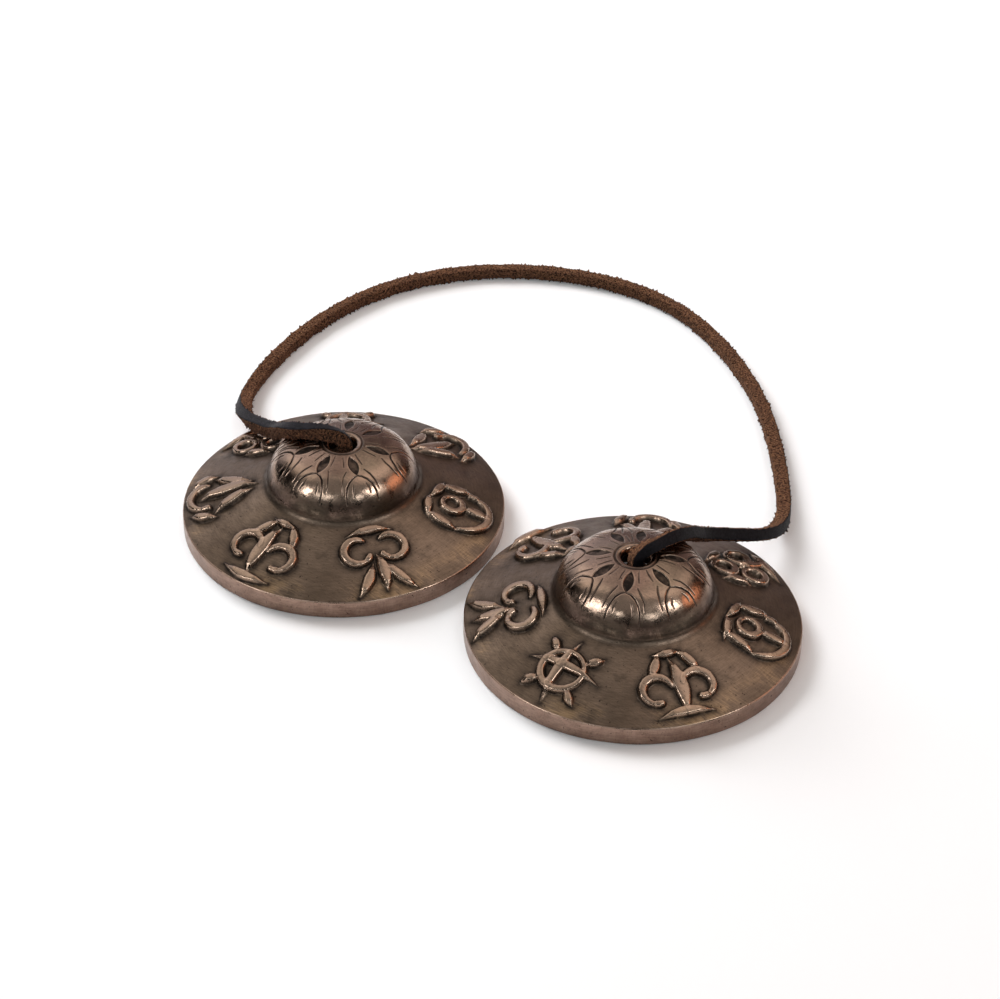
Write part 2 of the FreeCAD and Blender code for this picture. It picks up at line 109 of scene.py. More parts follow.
class Nodes:
    """A node tree, and short ways to add nodes to it."""

    def __init__(self, tree):
        self.tree = tree

    def add(self, kind, inputs=(), **settings):
        node = self.tree.nodes.new("ShaderNode" + kind)
        for key, value in settings.items():
            setattr(node, key, value)
        return self.fill(node, dict(inputs))

    def fill(self, node, inputs):
        """Each input gets a plain value, or a link from the socket that is given."""
        for name, value in inputs.items():
            socket = node.inputs[name]
            if isinstance(value, bpy.types.NodeSocket):
                self.tree.links.new(value, socket)
            elif socket.type == "RGBA":
                socket.default_value = (*value, 1.0)
            else:
                socket.default_value = value
        return node

    def attribute(self, name):
        return self.add("Attribute", attribute_name=name).outputs["Fac"]

    def noise(self, vector, scale, detail, roughness=0.55):
        inputs = {"Vector": vector, "Scale": scale, "Detail": detail, "Roughness": roughness}
        return self.add("TexNoise", inputs).outputs["Fac"]

    def maths(self, operation, *values, clamp=False):
        inputs = dict(enumerate(values))
        return self.add("Math", inputs, operation=operation, use_clamp=clamp).outputs[0]

    def fit(self, value, low, high, to_low=0.0, to_high=1.0):
        """value taken from low..high to to_low..to_high, smoothly and held at the ends."""
        inputs = dict(enumerate((value, low, high, to_low, to_high)))
        node = self.add("MapRange", inputs, interpolation_type="SMOOTHSTEP")
        return node.outputs["Result"]

    def mix(self, share, a, b, blend="MIX"):
        """Colour a with this share of colour b over it."""
        inputs = {"Factor": share, MIX_COLOUR_A: a, MIX_COLOUR_B: b}
        node = self.add("Mix", inputs, data_type="RGBA", blend_type=blend)
        return node.outputs[MIX_COLOUR_OUT]

    def mix_value(self, share, a, b):
        return self.add("Mix", {"Factor": share, "A": a, "B": b}).outputs[0]

    def vector(self, operation, *values, output="Vector"):
        node = self.add("VectorMath", dict(enumerate(values)), operation=operation)
        return node.outputs[output]

    def bump(self, height, strength, distance, normal=None):
        inputs = {"Height": height, "Strength": strength, "Distance": distance}
        if normal is not None:
            inputs["Normal"] = normal
        return self.add("Bump", inputs).outputs["Normal"]


class Shader(Nodes):
    """A material's nodes round its Principled shader."""

    def __init__(self, name):
        self.material = bpy.data.materials.new(name)
        self.material.use_nodes = True
        super().__init__(self.material.node_tree)
        self.surface = self.tree.nodes["Principled BSDF"]

    def dress(self, inputs):
        self.fill(self.surface, inputs)
        return self.material


# ---- mesh from a grid


def grid_mesh(name, points, wrap_rows, material, attributes):
    """A smooth mesh over points (rows, columns, 3). Columns always close round; rows may."""
    rows, columns = points.shape[:2]
    band = np.arange(rows if wrap_rows else rows - 1)[:, None]
    column = np.arange(columns)
    next_band, next_column = (band + 1) % rows, (column + 1) % columns
    corners = [
        band * columns + column,
        band * columns + next_column,
        next_band * columns + next_column,
        next_band * columns + column,
    ]
    faces = np.stack([corner.ravel() for corner in corners], axis=1)
    mesh = bpy.data.meshes.new(name)
    mesh.vertices.add(rows * columns)
    mesh.vertices.foreach_set("co", points.reshape(-1).astype(np.float32))
    mesh.loops.add(faces.size)
    mesh.loops.foreach_set("vertex_index", faces.reshape(-1).astype(np.int32))
    mesh.polygons.add(len(faces))
    starts = np.arange(0, faces.size, len(corners), dtype=np.int32)
    mesh.polygons.foreach_set("loop_start", starts)
    mesh.polygons.foreach_set("loop_total", np.full_like(starts, len(corners)))
    mesh.update(calc_edges=True)
    mesh.polygons.foreach_set("use_smooth", np.ones(len(faces), dtype=bool))
    for key, values in attributes.items():
        layer = mesh.attributes.new(key, "FLOAT", "POINT")
        layer.data.foreach_set("value", values.reshape(-1).astype(np.float32))
    add_unrolled_map(mesh, columns, len(band))
    mesh.materials.append(material)
    mesh.validate()
    return add_object(name, mesh)


def add_unrolled_map(mesh, columns, bands):
    """The UV map for baking: the grid laid out flat, each face with its own place."""
    layer = mesh.uv_layers.new(name="OFBake")
    band, column = np.divmod(np.arange(bands * columns), columns)
    across = np.stack([column, column + 1, column + 1, column], axis=1) / columns
    along = np.stack([band, band, band + 1, band + 1], axis=1) / bands
    places = np.stack([across, along], axis=2)
    layer.uv.foreach_set("vector", places.reshape(-1).astype(np.float32))


def smoothstep(low, high, value):
    """0 at low, 1 at high and smooth between, where low may also be the larger one."""
    share = np.clip((value - low) / (high - low), 0.0, 1.0)
    return share * share * (3.0 - 2.0 * share)


# ---- the lace's line


def hole_of(cymbal):
    """The foot of the axis of a cymbal's hole, on the table."""
    low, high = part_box(cymbal)
    return Vector(((low.x + high.x) / 2, (low.y + high.y) / 2, 0.0))


HOLE_LEFT, HOLE_RIGHT = hole_of("cymbal_left"), hole_of("cymbal_right")

# The lace's route from the foot of each hole's axis, as in the part, but over the hole a little
# closer to its edge. Beside each point stands the way the lace's smooth grain side looks.
LEFT_COURSE = [
    ((0.0003, 0, 0.0125), (0.7, 0.7, 0)),
    ((0.0002, 0, 0.0155), (0.7, 0.7, 0)),
    ((0.0006, 0.0002, 0.0179), (0.7, 0.7, 0.1)),
    ((0.0003, 0, 0.0197), (0.5, 0.7, 0.5)),
    ((-0.002, -0.0008, 0.0206), (0.2, 0.35, 0.9)),
    ((-0.0062, -0.0018, 0.0202), (0, -0.1, 1)),
    ((-0.0104, -0.0024, 0.0191), (0, -0.22, 1)),
    ((-0.0142, -0.0008, 0.0169), (0, -0.28, 1)),
    ((-0.0187, 0.003, 0.0125), (0, -0.28, 1)),
    ((-0.0235, 0.0053, 0.0104), (0, -0.28, 1)),
    ((-0.0283, 0.0077, 0.0084), (-0.1, -0.3, 1)),
    ((-0.033, 0.011, 0.0063), (-0.3, -0.45, 0.85)),
    ((-0.037, 0.0157, 0.004), (-0.65, -0.55, 0.6)),
    ((-0.0404, 0.0207, 0.0023), (-0.9, -0.5, 0.4)),
    ((-0.043, 0.0271, 0.0014), (-1, -0.35, 0.3)),
    ((-0.0448, 0.0355, 0.0014), (-1, -0.1, 0.15)),
    ((-0.0459, 0.047, 0.0014), (-1, 0, 0)),
    ((-0.0454, 0.06, 0.0014), (-1, 0.1, 0)),
    ((-0.0422, 0.073, 0.0014), (-1, 0.3, 0)),
    ((-0.0359, 0.0847, 0.0014), (-0.8, 0.6, 0)),
    ((-0.027, 0.0942, 0.0014), (-0.6, 0.8, 0)),
    ((-0.016, 0.1012, 0.0014), (-0.5, 0.9, 0)),
    ((-0.0035, 0.1056, 0.0014), (-0.2, 1, 0)),
]
# Where the loop's halves meet, in the part's frame.
LOOP_BEND = ((-0.0242, 0.1067, 0.0014), (0, 1, 0))
RIGHT_COURSE = [
    ((0, 0, 0.0125), (0.85, -0.53, 0)),
    ((0, 0, 0.0155), (0.85, -0.53, 0)),
    ((0, -0.0003, 0.0177), (0.8, -0.53, 0.1)),
    ((0.0005, 0, 0.0195), (0.75, -0.55, 0.2)),
    ((0.0019, 0.0015, 0.0205), (0.7, -0.5, 0.45)),
    ((0.0029, 0.0044, 0.0204), (0.7, -0.4, 0.6)),
    ((0.0037, 0.0082, 0.0197), (0.7, -0.25, 0.65)),
    ((0.0041, 0.012, 0.0181), (0.75, -0.2, 0.62)),
    ((0.0039, 0.0158, 0.0156), (0.75, -0.2, 0.6)),
    ((0.0037, 0.0197, 0.0128), (0.75, -0.2, 0.6)),
    ((0.0053, 0.0242, 0.0107), (0.75, -0.25, 0.6)),
    ((0.0078, 0.0288, 0.0086), (0.75, -0.3, 0.6)),
    ((0.0102, 0.0337, 0.0065), (0.85, -0.25, 0.55)),
    ((0.0107, 0.0396, 0.0041), (0.95, 0, 0.4)),
    ((0.0087, 0.0469, 0.0022), (1, 0.3, 0.1)),
    ((0.0039, 0.0559, 0.0014), (0.9, 0.5, 0)),
    ((-0.0034, 0.0671, 0.0014), (0.8, 0.6, 0)),
    ((-0.0119, 0.0785, 0.0014), (0.7, 0.7, 0)),
    ((-0.022, 0.0887, 0.0014), (0.6, 0.8, 0)),
    ((-0.0331, 0.0972, 0.0014), (0.5, 0.9, 0)),
    ((-0.045, 0.1038, 0.0014), (0.2, 1, 0)),
]
LACE_THICK = 2.85 * MM  # of the cut lace, from its grain side down
LACE_BROAD = 2.5 * MM  # across its grain side
LACE_STEP = 0.26 * MM
LACE_ORDER, LINE_STEPS = 3, 32  # of the smooth line through the route
# Where the bending ends meet the loop, from the foot of each hole's axis.
SEAM_LEFT, SEAM_RIGHT = (-0.0442, 0.032, 0.0018), (0.009, 0.047, 0.0026)


def smooth_line(name, points):
    """Points read from the NURBS line whose control points these are."""
    data = bpy.data.curves.new(name, "CURVE")
    data.dimensions = "3D"
    data.resolution_u = LINE_STEPS
    spline = data.splines.new("NURBS")
    spline.points.add(len(points) - 1)
    for point, place in zip(spline.points, points):
        point.co = (*place, 1.0)
    spline.order_u = LACE_ORDER
    spline.use_endpoint_u = True
    curve = add_object(name, data)
    bpy.context.view_layer.update()
    depsgraph = bpy.context.evaluated_depsgraph_get()
    mesh = bpy.data.meshes.new_from_object(curve.evaluated_get(depsgraph))
    line = np.array([vertex.co for vertex in mesh.vertices])
    bpy.data.objects.remove(curve)
    bpy.data.meshes.remove(mesh)
    return line


def strides(line):
    return np.linalg.norm(np.diff(line, axis=0), axis=1)


def evenly(line, step):
    """The same line read at even steps of its length."""
    along = np.concatenate([[0.0], np.cumsum(strides(line))])
    count = max(int(round(along[-1] / step)), 2)
    places = np.linspace(0.0, along[-1], count + 1)
    return np.stack([np.interp(places, along, line[:, k]) for k in range(3)], axis=1)


def unit(vectors):
    return vectors / np.maximum(np.linalg.norm(vectors, axis=-1, keepdims=True), 1e-12)


def nearest(line, place):
    return int(np.argmin(np.linalg.norm(line - np.asarray(place), axis=1)))


def sides_along(line, places, looks):
    """The way of the grain side and of the flank beside it, at each point of the line."""
    tangent = unit(np.gradient(line, axis=0))
    order = [nearest(line, place) for place in places]
    index = np.arange(len(line))
    looks = np.asarray(looks, dtype=float)
    wanted = np.stack([np.interp(index, order, looks[:, k]) for k in range(3)], axis=1)
    grain = unit(wanted - tangent * np.sum(wanted * tangent, axis=1, keepdims=True))
    return grain, np.cross(tangent, grain)


def in_part(hole, course):
    return [(tuple(hole + Vector(place)), look) for place, look in course]


LACE_PLACES, LACE_LOOKS = zip(
    *in_part(HOLE_LEFT, LEFT_COURSE), LOOP_BEND, *reversed(in_part(HOLE_RIGHT, RIGHT_COURSE)),
)
LACE_LINE = evenly(smooth_line("lace_line", LACE_PLACES), LACE_STEP)
LACE_SIDES = sides_along(LACE_LINE, LACE_PLACES, LACE_LOOKS)

# ---- the lace's skin

SECTION_POINTS = 56
SECTION_SQUARENESS = 5.5  # exponent of the rounded square
WAVER_LENGTHS = (8.5 * MM, 21.0 * MM, 47.0 * MM)  # how the cut width wavers along the lace
WIDTH_WAVER, HEIGHT_WAVER, LEAN_WAVER = (0.05, 3), (0.04, 4), (0.1, 5)  # how much, seed
# Where the grain side begins, up the lace's sides and in from its long edges, as shares.
GRAIN_UP, GRAIN_IN = (0.74, 0.94), (1.0, 0.8)
CORNER, CORNER_REACH = 0.84, 0.1  # where the hairs stand
# The skin's unevenness: features to the metre, seed, height in millimetres.
FUZZ = ((2300, 1, 0.12), (4700, 2, 0.12))
HAIRS, HAIR_FLOOR = (3900, 6, 1.5), 0.1  # noise below the floor grows no hair
SMOOTH = (700, 3, 0.03)
CAP_RINGS = 4  # that close a cut end
CAP_SMALLEST = 0.01  # the last one, as a share of the end


def noise_at(points, scale, seed):
    """Smooth noise from about -1 to 1 at points (..., 3), scale features to the metre."""
    seed_step = 17.3  # far enough for noise that has nothing in common
    flat = (points.reshape(-1, 3) * scale + seed * seed_step).tolist()
    values = np.array([noise.noise(place) for place in flat])
    return values.reshape(points.shape[:-1])


def waver(places, amount, seed):
    """A slow uneven swing of about this amount to both sides along a length."""
    phases = np.random.default_rng(seed).uniform(0, 2 * math.pi, len(WAVER_LENGTHS))
    swings = [np.sin(2 * math.pi * places / w + p) for w, p in zip(WAVER_LENGTHS, phases)]
    return amount * (sum(swings) / len(WAVER_LENGTHS))


def end_rings(ring, middle):
    """Rings that shrink to the middle of an end, so that the tube has a cut face."""
    shares = np.linspace(1.0, 0.0, CAP_RINGS + 1)[1:]
    return np.stack([middle + (ring - middle) * max(share, CAP_SMALLEST) for share in shares])


def lace_tube(name, line, sides, start_place, size=1.0, cut=False):
    """A square lace with one smooth grain side and three rough suede ones round the line."""
    grain_side, flank = sides
    turn = np.linspace(0, 2 * math.pi, SECTION_POINTS, endpoint=False)
    power = SECTION_SQUARENESS
    reach = (np.abs(np.cos(turn)) ** power + np.abs(np.sin(turn)) ** power) ** (-1 / power)
    across, upward = reach * np.cos(turn), reach * np.sin(turn)
    places = start_place + np.arange(len(line)) * LACE_STEP
    half_width = LACE_BROAD / 2 * size * (1 + waver(places, *WIDTH_WAVER))
    half_height = LACE_THICK / 2 * size * (1 + waver(places, *HEIGHT_WAVER))
    lean = waver(places, *LEAN_WAVER)
    y = upward * half_height[:, None]
    x = across * half_width[:, None] + lean[:, None] * y
    middle = line[:, None]
    skin = middle + x[..., None] * flank[:, None] + y[..., None] * grain_side[:, None]
    outward = unit(skin - middle)
    grain = smoothstep(*GRAIN_UP, upward) * smoothstep(*GRAIN_IN, np.abs(across))
    grain = grain * np.ones((len(line), 1))
    corner = np.exp(-((np.abs(upward) - CORNER) / CORNER_REACH) ** 2)
    fuzz = sum(noise_at(skin, scale, seed) * height for scale, seed, height in FUZZ)
    hairs = np.maximum(noise_at(skin, *HAIRS[:2]) - HAIR_FLOOR, 0.0) * HAIRS[2]
    smooth = noise_at(skin, *SMOOTH[:2]) * SMOOTH[2]
    lift = (fuzz * (1 - grain) + hairs * corner * (1 - 0.5 * grain) + smooth) * MM
    skin = skin + outward * lift[..., None]
    if cut:
        first, last = end_rings(skin[0], line[0])[::-1], end_rings(skin[-1], line[-1])
        skin = np.concatenate([first, skin, last])
        grain = np.concatenate([grain[:1]] * CAP_RINGS + [grain] + [grain[-1:]] * CAP_RINGS)
    return grid_mesh(name, skin, False, LEATHER, {"grain": grain})


SUEDE_DARK, SUEDE_PALE = (0.01, 0.005, 0.003), (0.195, 0.092, 0.05)
SUEDE_PATCH, SUEDE_SPECK = (0.07, 0.033, 0.02), (0.5, 0.23, 0.11)
GRAIN_DARK, GRAIN_PALE = (0.003, 0.0028, 0.0042), (0.01, 0.009, 0.012)
GRAIN_PATCH = (0.02, 0.018, 0.023)
SHEEN_TINT = (0.8, 0.72, 0.66)
NAP_COARSE, NAP_FINE, NAP_SPECK = 170, 2300, 4300  # features to the metre


def make_leather():
    """Brown suede on three sides and dark, faintly blue grain on the fourth."""
    leather = Shader("leather_lace")
    mix, fit, maths = leather.mix, leather.fit, leather.maths
    place = leather.add("TexCoord").outputs["Object"]
    fine = leather.noise(place, NAP_FINE, 4.0, 0.7)
    coarse = leather.noise(place, NAP_COARSE, 3.0)
    speck = leather.noise(place, NAP_SPECK, 3.0, 0.6)
    edge = maths("MULTIPLY", maths("SUBTRACT", fine, 0.5), 0.9)
    grain = fit(maths("ADD", leather.attribute("grain"), edge), 0.4, 0.62)
    suede = mix(fit(fine, 0.41, 0.6), SUEDE_DARK, SUEDE_PALE)
    suede = mix(fit(coarse, 0.35, 0.68, 0.0, 0.3), suede, SUEDE_PATCH)
    suede = mix(fit(speck, 0.56, 0.7, 0.0, 0.8), suede, SUEDE_SPECK)
    smooth = mix(fit(fine, 0.35, 0.65), GRAIN_DARK, GRAIN_PALE)
    smooth = mix(fit(coarse, 0.54, 0.76, 0.0, 0.6), smooth, GRAIN_PATCH)
    depth = leather.mix_value(grain, 1.0, 0.3)
    height = maths("MULTIPLY", maths("ADD", fine, speck), depth)
    return leather.dress({
        "Base Color": mix(grain, suede, smooth),
        "Roughness": leather.mix_value(grain, 0.96, fit(speck, 0.3, 0.7, 0.5, 0.68)),
        "Normal": leather.bump(height, 0.9, 0.16 * MM),
        "Specular IOR Level": 0.1,
        "Sheen Weight": 0.03,
        "Sheen Roughness": 0.4,
        "Sheen Tint": SHEEN_TINT,
    })


LEATHER = make_leather()

# ---- knots

KNOT_MIDDLE = 11.66 * MM  # over the table, so inside the dome
KNOT_REACH = 3.3 * MM  # of its centre line from its middle
KNOT_DEPTH = 1.35 * MM  # of its strands before and behind each other
KNOT_LACE = 0.97  # the lace is pressed thinner where it is drawn tight
TAIL_LENGTH = 9.4 * MM
TAIL_DROP = 2.9 * MM
TAILS = {"left": (0.35, -0.94), "right": (-0.6, -0.8)}
KNOT_STUB = (4.4 * MM, 3.4 * MM)  # the lace above it, over the knot's middle
KNOT_STEPS = 22  # control points round the overhand loop
KNOT_LOOK = (1.0, 0.3, 0.2)  # the way of the grain side at its start
KNOT_START, KNOT_SWEEP = math.radians(75), math.radians(325)
TAIL_SHARES = (0.5, 0.75, 1.0)


def knot_points(hole, tail):
    """Down from the hole, once through itself, and out to the cut tail."""
    tail_way = Vector((*tail, 0.0)).normalized()
    side_way = UP.cross(tail_way)
    middle = hole + UP * KNOT_MIDDLE
    points = [middle + UP * rise for rise in KNOT_STUB]
    for step in range(KNOT_STEPS + 1):
        angle = KNOT_START + step / KNOT_STEPS * KNOT_SWEEP
        flat_x = (math.sin(angle) + 2 * math.sin(2 * angle)) / 3
        flat_y = (math.cos(angle) - 2 * math.cos(2 * angle)) / 3
        points.append(
            middle
            + tail_way * flat_x * KNOT_REACH
            + UP * flat_y * KNOT_REACH
            + side_way * -math.sin(3 * angle) * KNOT_DEPTH
        )
    points += [
        middle + tail_way * share * TAIL_LENGTH - UP * TAIL_DROP for share in TAIL_SHARES]
    return [tuple(point) for point in points]


def make_knot(side, hole):
    line = evenly(smooth_line("knot_line_" + side, knot_points(hole, TAILS[side])), LACE_STEP)
    tangent = unit(np.gradient(line, axis=0))
    grain_side = [np.array(KNOT_LOOK)]  # it is carried along the line without a twist
    for direction in tangent:
        carried = grain_side[-1] - direction * (grain_side[-1] @ direction)
        grain_side.append(carried / np.linalg.norm(carried))
    grain_side = np.array(grain_side[1:])
    sides = (grain_side, np.cross(tangent, grain_side))
    knot = lace_tube("knot_wrap_" + side, line, sides, 0.0, KNOT_LACE, cut=True)
    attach(knot, "knot_" + side)
    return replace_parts(knot, "knot_" + side)


# ---- three lengths of lace

BEND_THONG_LEFT = HOLE_LEFT + Vector((-0.0055, 0.0, 0.0215))
BEND_KNOT_LEFT = HOLE_LEFT + Vector((0.0003, 0.0, 0.0172))
BEND_THONG_RIGHT = HOLE_RIGHT + Vector((0.0029, 0.0047, 0.0215))
BEND_KNOT_RIGHT = HOLE_RIGHT + Vector((-0.0002, -0.0003, 0.0172))
LOOP_BLEND = Vector((0.015, -0.0011, 0.0))


def lace_piece(name, first, last, *joint):
    line = LACE_LINE[first:last + 1]
    sides = tuple(ways[first:last + 1] for ways in LACE_SIDES)
    piece = lace_tube(name, line, sides, first * LACE_STEP)
    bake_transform(piece)
    return piece, line


def declare(line):
    length = float(np.sum(strides(line)))
    tuple(line[0])


def make_lace():
    seam_left = nearest(LACE_LINE, HOLE_LEFT + Vector(SEAM_LEFT))
    seam_right = nearest(LACE_LINE, HOLE_RIGHT + Vector(SEAM_RIGHT))
    middle = Vector(LOOP_BEND[0])
    loop, loop_line = lace_piece(
        "lace_loop", seam_left, seam_right,
        "thong_left", "thong_right", middle - LOOP_BLEND, middle + LOOP_BLEND,
    )
    left, left_line = lace_piece(
        "lace_end_left", 0, seam_left,
        "thong_left", "knot_left", BEND_THONG_LEFT, BEND_KNOT_LEFT,
    )
    right, right_line = lace_piece(
        "lace_end_right", seam_right, len(LACE_LINE) - 1,
        "thong_right", "knot_right", BEND_THONG_RIGHT, BEND_KNOT_RIGHT,
    )
    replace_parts(loop, "thong_left", "thong_right")
    knots = make_knot("left", HOLE_LEFT), make_knot("right", HOLE_RIGHT)
    declare(loop_line)
    declare(left_line[::-1])
    declare(right_line)


make_lace()

# ---- a cymbal's section

RIM_EDGE = 3.9 * MM
RIM_LAND = 3.0 * MM
RIM_ROUNDING = 0.35 * MM
FLANGE_RISE = 6.05 * MM
WALL = 3.0 * MM
DOME_RADIUS = 15.3 * MM
DOME_RISE = 9.05 * MM
COVE = 1.8 * MM
HOLE_RADIUS = 2.6 * MM
RING_WIDTH = 1.1 * MM
RIM_RADIUS = (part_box("cymbal_left")[1].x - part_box("cymbal_left")[0].x) / 2

SLOPE = math.atan2(FLANGE_RISE, RIM_RADIUS - DOME_RADIUS)
FOOT_HEIGHT = RIM_EDGE + FLANGE_RISE
CROWN = FOOT_HEIGHT + DOME_RISE
SHOULDER = 0.86 * DOME_RISE  # radius of the dome's round shoulder, under its flat ball cap
SHOULDER_MIDDLE = np.array([DOME_RADIUS - SHOULDER, FOOT_HEIGHT])
BALL = (SHOULDER_MIDDLE[0] ** 2 + DOME_RISE**2 - SHOULDER**2) / (2 * (DOME_RISE - SHOULDER))
BALL_MIDDLE = np.array([0.0, CROWN - BALL])
CAP_END = math.atan2(BALL - DOME_RISE, SHOULDER_MIDDLE[0])  # where the cap meets the shoulder
DOWN_SLOPE = np.array([math.cos(SLOPE), -math.sin(SLOPE)])
OFF_SLOPE = np.array([math.sin(SLOPE), math.cos(SLOPE)])
COLUMNS = 896  # round a bell
# Rows of points in each stretch of the section.
RING_ROWS, CAP_ROWS, SHOULDER_ROWS, COVE_ROWS, FLANGE_ROWS = 12, 54, 64, 8, 128
RIM_ROWS, UNDER_ROWS, EDGE_ROWS = 12, 10, 5
SAME_POINT = 1e-6  # two points nearer than this are one


def arc(middle, radius, start, end, count):
    """Points on an arc in the section, angles in radians from the outward direction."""
    angle = np.linspace(start, end, count)
    return middle + radius * np.stack([np.cos(angle), np.sin(angle)], axis=1)


def run(start, end, count):
    """Points on a straight line in the section."""
    share = np.linspace(0.0, 1.0, count)[:, None]
    return np.asarray(start) * (1 - share) + np.asarray(end) * share


def level(radius, ball):
    """A point of the cap's outer or inner skin at this radius."""
    return np.array([radius, BALL_MIDDLE[1] + math.sqrt(ball**2 - radius**2)])


def cross_shoulder(point, radius):
    """Where a line down the slope through this point leaves a circle round the shoulder."""
    offset = point - SHOULDER_MIDDLE
    ahead = offset @ DOWN_SLOPE
    return point + DOWN_SLOPE * (math.sqrt(ahead**2 - offset @ offset + radius**2) - ahead)


def way_from(middle, point):
    """The angle at which a point is seen from this middle."""
    return math.atan2(point[1] - middle[1], point[0] - middle[0])


def bell_section():
    """Closed section from the ring at the hole, out over the top and back underneath."""
    foot = np.array([DOME_RADIUS, FOOT_HEIGHT])
    cove_middle = cross_shoulder(foot + OFF_SLOPE * COVE, SHOULDER + COVE)
    slope_angle = math.atan2(OFF_SLOPE[1], OFF_SLOPE[0])
    cove_start, cove_end = np.unwrap([
        way_from(cove_middle, SHOULDER_MIDDLE), slope_angle - math.pi])
    dome_end = way_from(SHOULDER_MIDDLE, cove_middle)
    ring_outer = HOLE_RADIUS + RING_WIDTH
    ring_top = level(ring_outer, BALL)
    bore_top = np.array([HOLE_RADIUS, ring_top[1] - RING_WIDTH])
    rim_middle = np.array([RIM_RADIUS - RIM_ROUNDING, RIM_EDGE - RIM_ROUNDING])
    foot_middle = np.array([RIM_RADIUS - RIM_ROUNDING, RIM_ROUNDING])
    land = np.array([RIM_RADIUS - RIM_LAND, 0.0])
    hollow_drop = WALL / math.cos(SLOPE)

    def under(radius):
        return np.array([radius, RIM_EDGE + (RIM_RADIUS - radius) * math.tan(SLOPE) - hollow_drop])

    hollow = under(land[0] - RIM_LAND / 2)
    inner_ball, inner_shoulder = BALL - WALL, SHOULDER - WALL
    inner_foot = cross_shoulder(under(0.0), inner_shoulder)
    bore_foot = level(HOLE_RADIUS, inner_ball)
    top_lip = np.array([ring_outer, bore_top[1]])
    stretches = [
        ("ring", arc(top_lip, RING_WIDTH, math.pi, math.pi / 2, RING_ROWS)),
        ("dome", arc(BALL_MIDDLE, BALL, way_from(BALL_MIDDLE, ring_top), CAP_END, CAP_ROWS)),
        ("dome", arc(SHOULDER_MIDDLE, SHOULDER, CAP_END, dome_end, SHOULDER_ROWS)),
        ("cove", arc(cove_middle, COVE, cove_start, cove_end, COVE_ROWS)),
        ("flange", run(cove_middle - OFF_SLOPE * COVE,
                       rim_middle + OFF_SLOPE * RIM_ROUNDING, FLANGE_ROWS)),
        ("rim", np.concatenate([
            arc(rim_middle, RIM_ROUNDING, slope_angle, 0.0, EDGE_ROWS),
            run((RIM_RADIUS, rim_middle[1]), (RIM_RADIUS, RIM_ROUNDING), RIM_ROWS),
            arc(foot_middle, RIM_ROUNDING, 0.0, -math.pi / 2, EDGE_ROWS),
        ])),
        ("under", np.concatenate([
            run((foot_middle[0], 0.0), land, EDGE_ROWS),
            run(land, hollow, EDGE_ROWS),
            run(hollow, inner_foot, UNDER_ROWS),
            arc(SHOULDER_MIDDLE, inner_shoulder, way_from(SHOULDER_MIDDLE, inner_foot), CAP_END,
                UNDER_ROWS),
            arc(BALL_MIDDLE, inner_ball, CAP_END, way_from(BALL_MIDDLE, bore_foot), UNDER_ROWS),
            run(bore_foot, bore_top, EDGE_ROWS),
        ])),
    ]
    points, names = [], []
    for name, stretch in stretches:
        for point in stretch:
            if not points or np.linalg.norm(point - points[-1]) > SAME_POINT:
                points.append(point)
                names.append(name)
    if np.linalg.norm(points[-1] - points[0]) < SAME_POINT:
        points.pop()
        names.pop()
    return np.array(points), np.array(names)


# ---- drawing on the skin

FAR = 9.0  # millimetres, further than any stroke reaches


def stroke_edge(x, y, points, halves):
    """Distance to the edge of a stroke, how far out in it a place is, and its half width there."""
    edge, share = np.full(x.shape, FAR), np.full(x.shape, FAR)
    slimness = np.zeros(x.shape)
    for (ax, ay), (bx, by), wa, wb in zip(points, points[1:], halves, halves[1:]):
        dx, dy = bx - ax, by - ay
        t = np.clip(((x - ax) * dx + (y - ay) * dy) / max(dx * dx + dy * dy, 1e-9), 0, 1)
        distance = np.hypot(x - ax - t * dx, y - ay - t * dy)
        half = wa + t * (wb - wa)
        nearer = distance - half < edge
        edge = np.where(nearer, distance - half, edge)
        share = np.where(nearer, distance / half, share)
        slimness = np.where(nearer, half, slimness)
    return edge, share, slimness


# ---- the engraved lotus

PETALS = {
    "left": (-134, -86, -38, 20, 70, 114, 154, -172),
    "right": (-117, -71, -19, 33, 75, 112, 148, -162),
}
ENGRAVED_DEPTH = 0.2 * MM
# In millimetres, sideways from a petal's middle and along the dome from its crown.
PETAL_START, PETAL_END = 4.7, 9.9
PETAL_HALF = 1.0
ARCH = [(0, 10), (0.9, 10.4), (1.9, 11.3), (2.7, 12.6), (3.15, 14.1), (3.3, 16)]
OUTER_ARCH = [(1.9, 8.9), (2.8, 10.3), (3.6, 12), (4, 13.9)]
INNER_LINE = [(1.3, 12.1), (1.75, 13.2), (1.9, 14.3)]
RAY = [(1.25, 4.7), (1.625, 6.15), (2, 7.6)]
# The lines beside each petal and how deep each is cut, as a share.
LOTUS_LINES = [(ARCH, 1.0), (OUTER_ARCH, 0.55), (INNER_LINE, 0.5), (RAY, 0.4)]
LINE_HALVES = (0.06, 0.12, 0.14, 0.13, 0.1, 0.05)  # half widths along a line
GROOVE = 4.05  # the groove round the hole's ring, along the dome
LOBE, LOBE_REACH = 14.2, 2.6  # middle and reach of the swelling between the arches
LOBE_SWELL = 0.16 * MM
LOTUS_SEEDS = {"left": 11, "right": 12}


